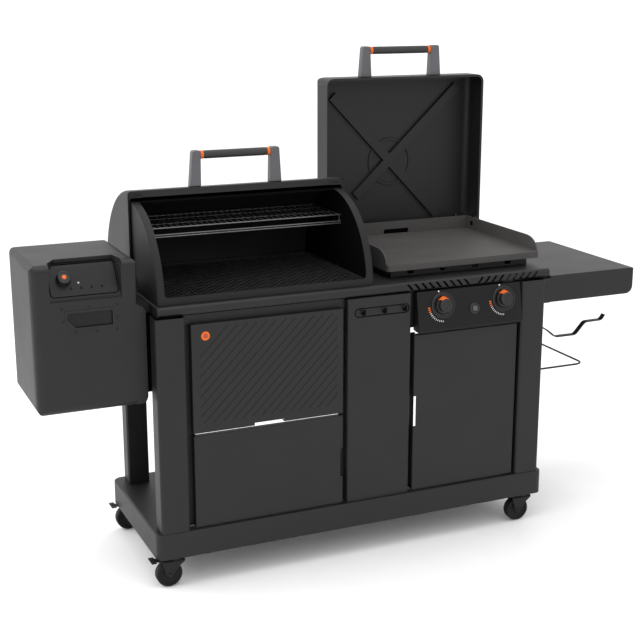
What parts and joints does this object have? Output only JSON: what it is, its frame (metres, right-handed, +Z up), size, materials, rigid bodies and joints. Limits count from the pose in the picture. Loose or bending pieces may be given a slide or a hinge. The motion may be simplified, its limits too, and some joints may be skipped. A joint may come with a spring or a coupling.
{
  "type": "pellet smoker and griddle cart",
  "caption": "Rolling cart grill with a round pellet smoker, a flat gas griddle, both lids open, a pellet hopper, a side shelf and front doors.",
  "frame": {"origin": "middle of the object's footprint, on the floor", "axes": "+X to the user's right as they face the front, +Y to the back, +Z up"},
  "size_m": [1.979, 0.651, 1.541],
  "materials": {
    "powder_coat": "satin powder coat",
    "barrel_paint": "satin heat-proof paint",
    "grate_iron": "seasoned, dark",
    "rack_wire": "dull plated wire",
    "burnt_steel": "heat-tinted",
    "griddle_steel": "cold-rolled, seasoned, warm grey",
    "handle_grey": "satin grey",
    "handle_grip": "matte",
    "knob_plastic": "matte",
    "console_plastic": "matte",
    "window_pane": "smoked, glossy",
    "bare_steel": "brushed",
    "motor_metal": "cast",
    "brass_fittings": "satin",
    "caster_metal": "satin",
    "caster_rubber": "moulded",
    "wire_black": "satin"
  },
  "bodies": {
    "cart": {"base_tray": "powder_coat", "leg_front_left": "powder_coat", "leg_front_right": "powder_coat", "leg_rear_left": "powder_coat", "leg_rear_right": "powder_coat", "top_frame": "powder_coat", "center_panel": "powder_coat", "hook_strip": "wire_black", "smoker_tub": "barrel_paint", "smoker_shell": "barrel_paint", "smoker_end_left": "barrel_paint", "smoker_end_right": "barrel_paint", "opening_frame": "barrel_paint", "warming_rack": "rack_wire", "heat_baffle": "barrel_paint", "fire_pot": "burnt_steel", "auger_tube": "bare_steel", "hopper_body": "powder_coat", "hopper_window": "window_pane", "controller_panel": "console_plastic", "auger_motor": "motor_metal", "burner_box": "powder_coat", "griddle_plate": "griddle_steel", "burner_left": "bare_steel", "burner_right": "bare_steel", "gas_manifold": "brass_fittings", "control_panel": "powder_coat", "side_shelf": "powder_coat", "towel_arm": "wire_black", "bag_hoop": "wire_black", "grease_cup": "bare_steel", "griddle_hinge_rod": "wire_black"},
    "smoker_lid": {"smoker_lid": "powder_coat", "smoker_handle_post_left": "handle_grey", "smoker_handle_post_right": "handle_grey", "smoker_handle_grip": "handle_grip"},
    "griddle_lid": {"griddle_lid": "powder_coat", "griddle_handle_post_left": "handle_grey", "griddle_handle_post_right": "handle_grey", "griddle_handle_grip": "handle_grip"},
    "front_shelf": {"front_shelf": "powder_coat"},
    "left_door": {"left_door": "powder_coat"},
    "right_door": {"right_door": "powder_coat"},
    "hopper_lid": {"hopper_lid": "powder_coat"},
    "hopper_knob": {"hopper_knob": "knob_plastic"},
    "burner_knob_left": {"burner_knob_left": "knob_plastic"},
    "burner_knob_right": {"burner_knob_right": "knob_plastic"},
    "igniter_button": {"igniter_button": "knob_plastic"},
    "auger_screw": {"auger_screw": "bare_steel"},
    "cooking_grate": {"cooking_grate": "grate_iron"},
    "caster_fork_front_left": {"caster_fork_front_left": "caster_metal"},
    "caster_wheel_front_left": {"caster_wheel_front_left": "caster_rubber"},
    "brake_lever_front": {"brake_lever_front": "caster_metal"},
    "caster_fork_front_right": {"caster_fork_front_right": "caster_metal"},
    "caster_wheel_front_right": {"caster_wheel_front_right": "caster_rubber"},
    "caster_fork_rear_left": {"caster_fork_rear_left": "caster_metal"},
    "caster_wheel_rear_left": {"caster_wheel_rear_left": "caster_rubber"},
    "brake_lever_rear": {"brake_lever_rear": "caster_metal"},
    "caster_fork_rear_right": {"caster_fork_rear_right": "caster_metal"},
    "caster_wheel_rear_right": {"caster_wheel_rear_right": "caster_rubber"}
  },
  "joints": [
    {"name": "smoker_lid_hinge", "type": "hinge", "parent": "cart", "child": "smoker_lid", "pos_m": [-0.3, -0.0085, 0.8709], "axis": [1, 0, 0], "range_deg": [0, 90]},
    {"name": "griddle_lid_hinge", "type": "hinge", "parent": "cart", "child": "griddle_lid", "pos_m": [0.401, 0.2753, 0.9332], "axis": [1, 0, 0], "range_deg": [0, 90]},
    {"name": "front_shelf_hinge", "type": "hinge", "parent": "cart", "child": "front_shelf", "pos_m": [-0.312, -0.28499, 0.794], "axis": [-1, 0, 0], "range_deg": [0, 90]},
    {"name": "left_door_hinge", "type": "hinge", "parent": "cart", "child": "left_door", "pos_m": [-0.546, -0.28499, 0.319], "axis": [0, 0, -1], "range_deg": [0, 110]},
    {"name": "right_door_hinge", "type": "hinge", "parent": "cart", "child": "right_door", "pos_m": [0.538, -0.28499, 0.433], "axis": [0, 0, 1], "range_deg": [0, 110]},
    {"name": "hopper_lid_hinge", "type": "hinge", "parent": "cart", "child": "hopper_lid", "pos_m": [-0.839, 0.067, 0.9812], "axis": [-1, 0, 0], "range_deg": [0, 75]},
    {"name": "hopper_knob_turn", "type": "hinge", "parent": "cart", "child": "hopper_knob", "pos_m": [-0.891, -0.2058, 0.94729], "axis": [0, -0.8201, 0.5723], "continuous": true},
    {"name": "burner_knob_left_turn", "type": "hinge", "parent": "cart", "child": "burner_knob_left", "pos_m": [0.265, -0.29811, 0.778], "axis": [0, -0.9836, 0.1803], "range_deg": [0, 225]},
    {"name": "burner_knob_right_turn", "type": "hinge", "parent": "cart", "child": "burner_knob_right", "pos_m": [0.483, -0.29811, 0.778], "axis": [0, -0.9836, 0.1803], "range_deg": [0, 225]},
    {"name": "igniter_press", "type": "slide", "parent": "cart", "child": "igniter_button", "axis": [0, 0.9836, -0.1803], "range_m": [0, 0.004], "stiffness_N_per_m": 400},
    {"name": "cooking_grate_lift", "type": "slide", "parent": "cart", "child": "cooking_grate", "axis": [0, 0, 1], "range_m": [0, 0.085]},
    {"name": "auger_turn", "type": "hinge", "parent": "cart", "child": "auger_screw", "pos_m": [-0.604, -0.0035, 0.679], "axis": [1, 0, 0], "continuous": true},
    {"name": "caster_swivel_front_left", "type": "hinge", "parent": "cart", "child": "caster_fork_front_left", "pos_m": [-0.6144, -0.27249, 0.088], "axis": [0, 0, 1], "continuous": true},
    {"name": "brake_lever_front_tilt", "type": "hinge", "parent": "caster_fork_front_left", "child": "brake_lever_front", "pos_m": [-0.6614, -0.27249, 0.081], "axis": [0, -1, 0], "range_deg": [0, 15]},
    {"name": "caster_spin_front_left", "type": "hinge", "parent": "caster_fork_front_left", "child": "caster_wheel_front_left", "pos_m": [-0.6356, -0.27249, 0.0397], "axis": [0, 1, 0], "continuous": true},
    {"name": "caster_swivel_front_right", "type": "hinge", "parent": "cart", "child": "caster_fork_front_right", "pos_m": [0.5978, -0.27249, 0.088], "axis": [0, 0, 1], "continuous": true},
    {"name": "caster_spin_front_right", "type": "hinge", "parent": "caster_fork_front_right", "child": "caster_wheel_front_right", "pos_m": [0.5766, -0.27249, 0.0397], "axis": [0, 1, 0], "continuous": true},
    {"name": "caster_swivel_rear_left", "type": "hinge", "parent": "cart", "child": "caster_fork_rear_left", "pos_m": [-0.6144, 0.18251, 0.088], "axis": [0, 0, 1], "continuous": true},
    {"name": "brake_lever_rear_tilt", "type": "hinge", "parent": "caster_fork_rear_left", "child": "brake_lever_rear", "pos_m": [-0.6614, 0.18251, 0.081], "axis": [0, -1, 0], "range_deg": [0, 15]},
    {"name": "caster_spin_rear_left", "type": "hinge", "parent": "caster_fork_rear_left", "child": "caster_wheel_rear_left", "pos_m": [-0.6356, 0.18251, 0.0397], "axis": [0, 1, 0], "continuous": true},
    {"name": "caster_swivel_rear_right", "type": "hinge", "parent": "cart", "child": "caster_fork_rear_right", "pos_m": [0.5978, 0.18251, 0.088], "axis": [0, 0, 1], "continuous": true},
    {"name": "caster_spin_rear_right", "type": "hinge", "parent": "caster_fork_rear_right", "child": "caster_wheel_rear_right", "pos_m": [0.5766, 0.18251, 0.0397], "axis": [0, 1, 0], "continuous": true}
  ]
}
